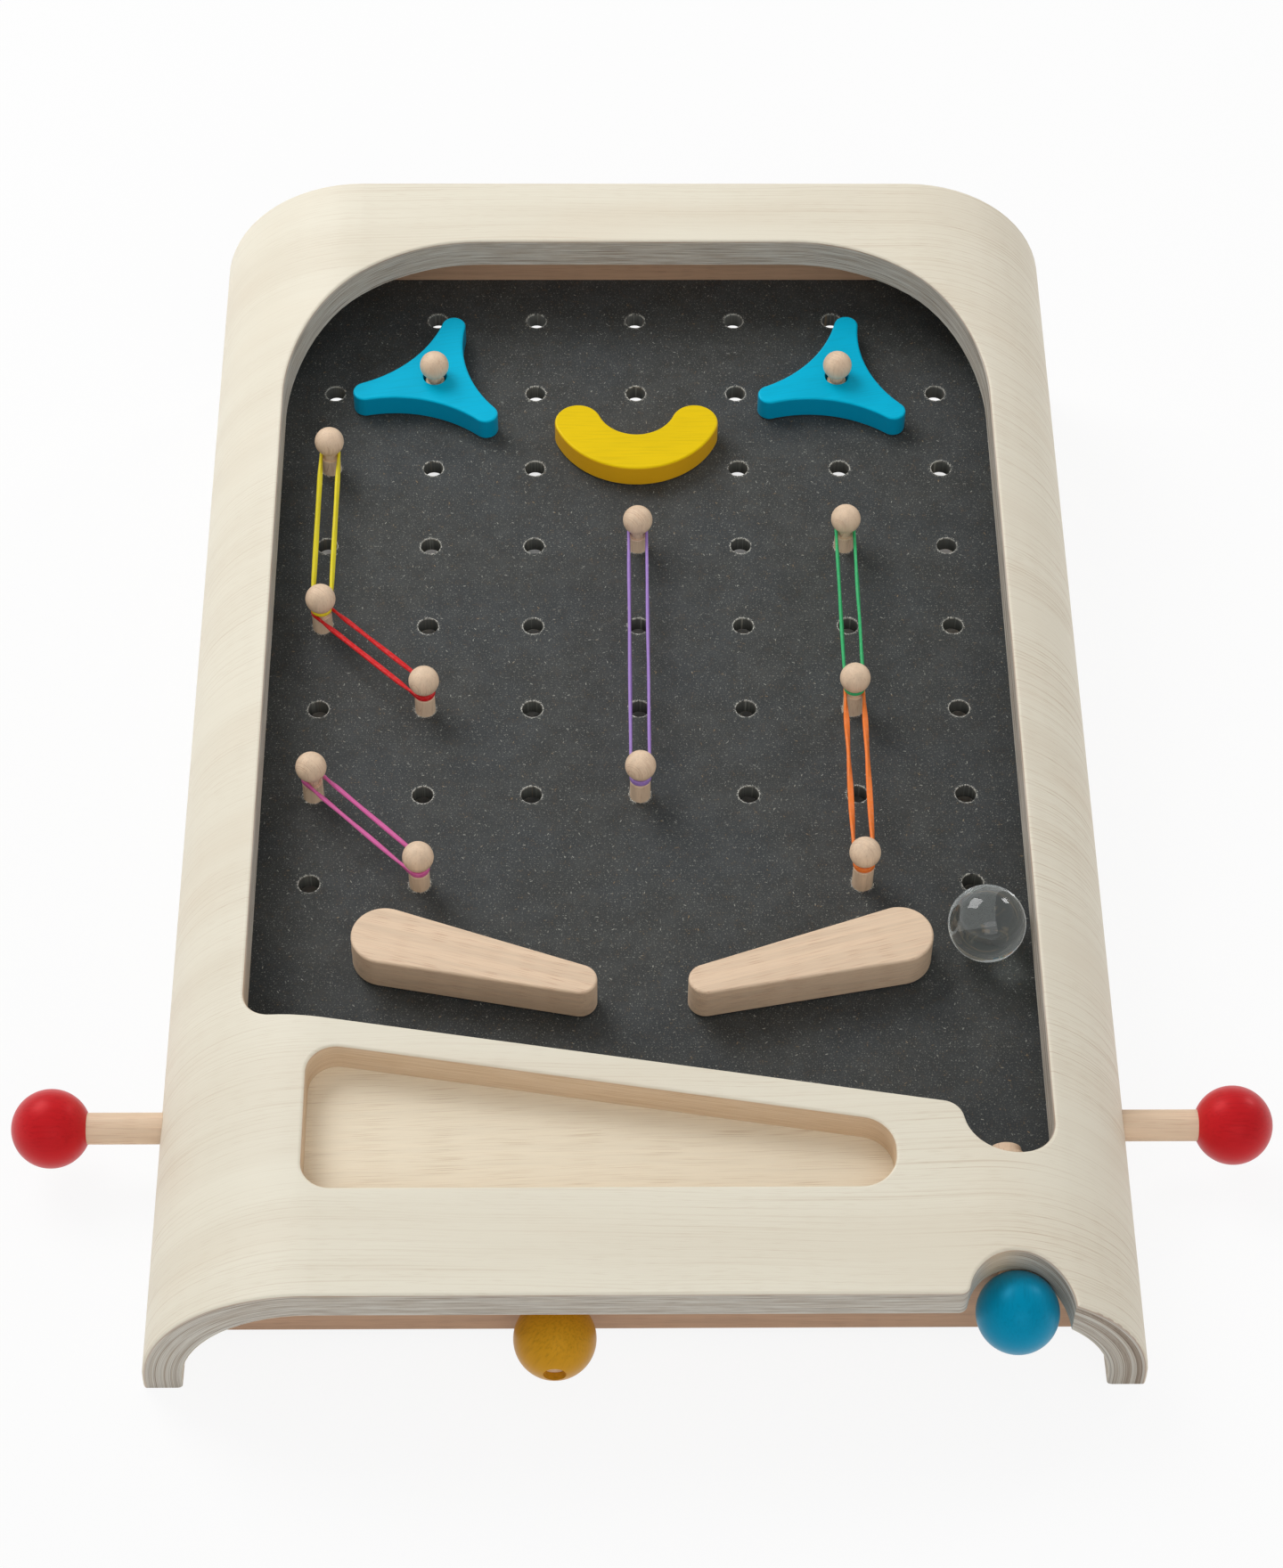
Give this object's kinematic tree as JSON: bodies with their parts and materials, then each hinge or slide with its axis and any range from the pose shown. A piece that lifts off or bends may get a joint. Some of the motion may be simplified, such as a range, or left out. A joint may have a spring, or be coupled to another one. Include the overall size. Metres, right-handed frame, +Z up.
{
  "type": "tabletop pinball game",
  "caption": "Sloping bent-plywood pinball game with a pegged dark board, knob-driven flippers, spring plunger, rubber-band bumpers and a storage tray.",
  "frame": {"origin": "middle of the overall box on the surface that the two legs stand on", "axes": "+Z up, +Y from the player towards the back, +X to the player's right; the board rises 6.5 degrees towards +Y"},
  "size_m": [0.397, 0.4756, 0.1086],
  "materials": {
    "pale_veneer": "matt clear lacquer",
    "beech": "sanded, oiled",
    "brown_beech": "sanded, oiled",
    "pine": "sanded, oiled",
    "dark_board": "matt, flecked",
    "red_lacquer": "satin water-based stain",
    "blue_lacquer": "satin water-based stain",
    "yellow_lacquer": "satin water-based stain",
    "steel": "bright zinc",
    "yellow_rubber": "matt",
    "red_rubber": "matt",
    "pink_rubber": "matt",
    "purple_rubber": "matt",
    "green_rubber": "matt",
    "orange_rubber": "matt",
    "glass": "polished, clear"
  },
  "bodies": {
    "carcass": {"bent_plywood_shell": "pale_veneer", "play_board": "dark_board", "back_rail": "brown_beech", "front_apron": "brown_beech", "tray_floor": "pine", "batten_screws": "steel", "guide_screws": "steel", "plunger_spring": "steel", "left_batten": "brown_beech", "left_rod_guide": "beech", "left_return_spring": "steel", "right_batten": "brown_beech", "right_rod_guide": "beech", "right_return_spring": "steel", "left_star_peg": "beech", "right_star_peg": "beech", "left_peg_back": "beech", "left_peg_upper": "beech", "left_peg_middle": "beech", "left_peg_lower": "beech", "left_peg_front": "beech", "middle_peg_back": "beech", "middle_peg_front": "beech", "right_peg_back": "beech", "right_peg_middle": "beech", "right_peg_front": "beech", "yellow_band": "yellow_rubber", "red_band": "red_rubber", "pink_band": "pink_rubber", "purple_band": "purple_rubber", "green_band": "green_rubber", "orange_band": "orange_rubber"},
    "left_push": {"left_push_knob": "red_lacquer", "left_push_rod": "beech", "left_drive_block": "beech", "left_drive_pin": "steel"},
    "left_flipper_set": {"left_flipper": "beech", "left_flipper_shaft": "beech", "left_flipper_crank": "beech"},
    "right_push": {"right_push_knob": "red_lacquer", "right_push_rod": "beech", "right_drive_block": "beech", "right_drive_pin": "steel"},
    "right_flipper_set": {"right_flipper": "beech", "right_flipper_shaft": "beech", "right_flipper_crank": "beech"},
    "plunger": {"plunger_rod": "beech", "plunger_knob": "blue_lacquer", "plunger_collar": "beech"},
    "pull": {"pull_knob": "yellow_lacquer", "pull_rod": "beech", "pull_stop": "beech"},
    "left_star_bumper": {"left_star": "blue_lacquer"},
    "right_star_bumper": {"right_star": "blue_lacquer"},
    "crescent": {"crescent_bumper": "yellow_lacquer", "crescent_pin": "beech"},
    "marble_ball": {"marble": "glass"}
  },
  "joints": [
    {"name": "left_push_slide", "type": "slide", "parent": "carcass", "child": "left_push", "axis": [1, 0, 0], "range_m": [0, 0.02027], "stiffness_N_per_m": 150, "springref_m": -0.012, "deforming": ["left_return_spring"]},
    {"name": "left_flipper_swing", "type": "hinge", "parent": "carcass", "child": "left_flipper_set", "pos_m": [-0.082, -0.08993, 0.04057], "axis": [0, -0.1132, 0.9936], "range_deg": [0, 38]},
    {"name": "right_push_slide", "type": "slide", "parent": "carcass", "child": "right_push", "axis": [-1, 0, 0], "range_m": [0, 0.02027], "stiffness_N_per_m": 150, "springref_m": -0.012, "deforming": ["right_return_spring"]},
    {"name": "right_flipper_swing", "type": "hinge", "parent": "carcass", "child": "right_flipper_set", "pos_m": [0.082, -0.08993, 0.04057], "axis": [0, 0.1132, -0.9936], "range_deg": [0, 38]},
    {"name": "plunger_pull", "type": "slide", "parent": "carcass", "child": "plunger", "axis": [0, -0.9936, -0.1132], "range_m": [0, 0.015], "stiffness_N_per_m": 250, "springref_m": -0.012, "deforming": ["plunger_spring"]},
    {"name": "yellow_knob_pull", "type": "slide", "parent": "carcass", "child": "pull", "axis": [0, -0.9936, -0.1132], "range_m": [0, 0.01]},
    {"name": "left_star_spin", "type": "hinge", "parent": "carcass", "child": "left_star_bumper", "pos_m": [-0.072, 0.15446, 0.06872], "axis": [0, -0.1132, 0.9936], "continuous": true},
    {"name": "right_star_spin", "type": "hinge", "parent": "carcass", "child": "right_star_bumper", "pos_m": [0.072, 0.15446, 0.06872], "axis": [0, -0.1132, 0.9936], "continuous": true},
    {"name": "crescent_swivel", "type": "hinge", "parent": "carcass", "child": "crescent", "pos_m": [0, 0.11872, 0.06435], "axis": [0, -0.1132, 0.9936], "range_deg": [-90, 90]},
    {"name": "marble_roll", "type": "slide", "parent": "carcass", "child": "marble_ball", "axis": [0, 0.9936, 0.1132], "range_m": [-0.071, 0.185]}
  ],
  "couplings": [
    {"joint": "left_flipper_swing", "follows": "left_push_slide", "rad_per_m": 32.7},
    {"joint": "right_flipper_swing", "follows": "right_push_slide", "rad_per_m": 32.7}
  ]
}
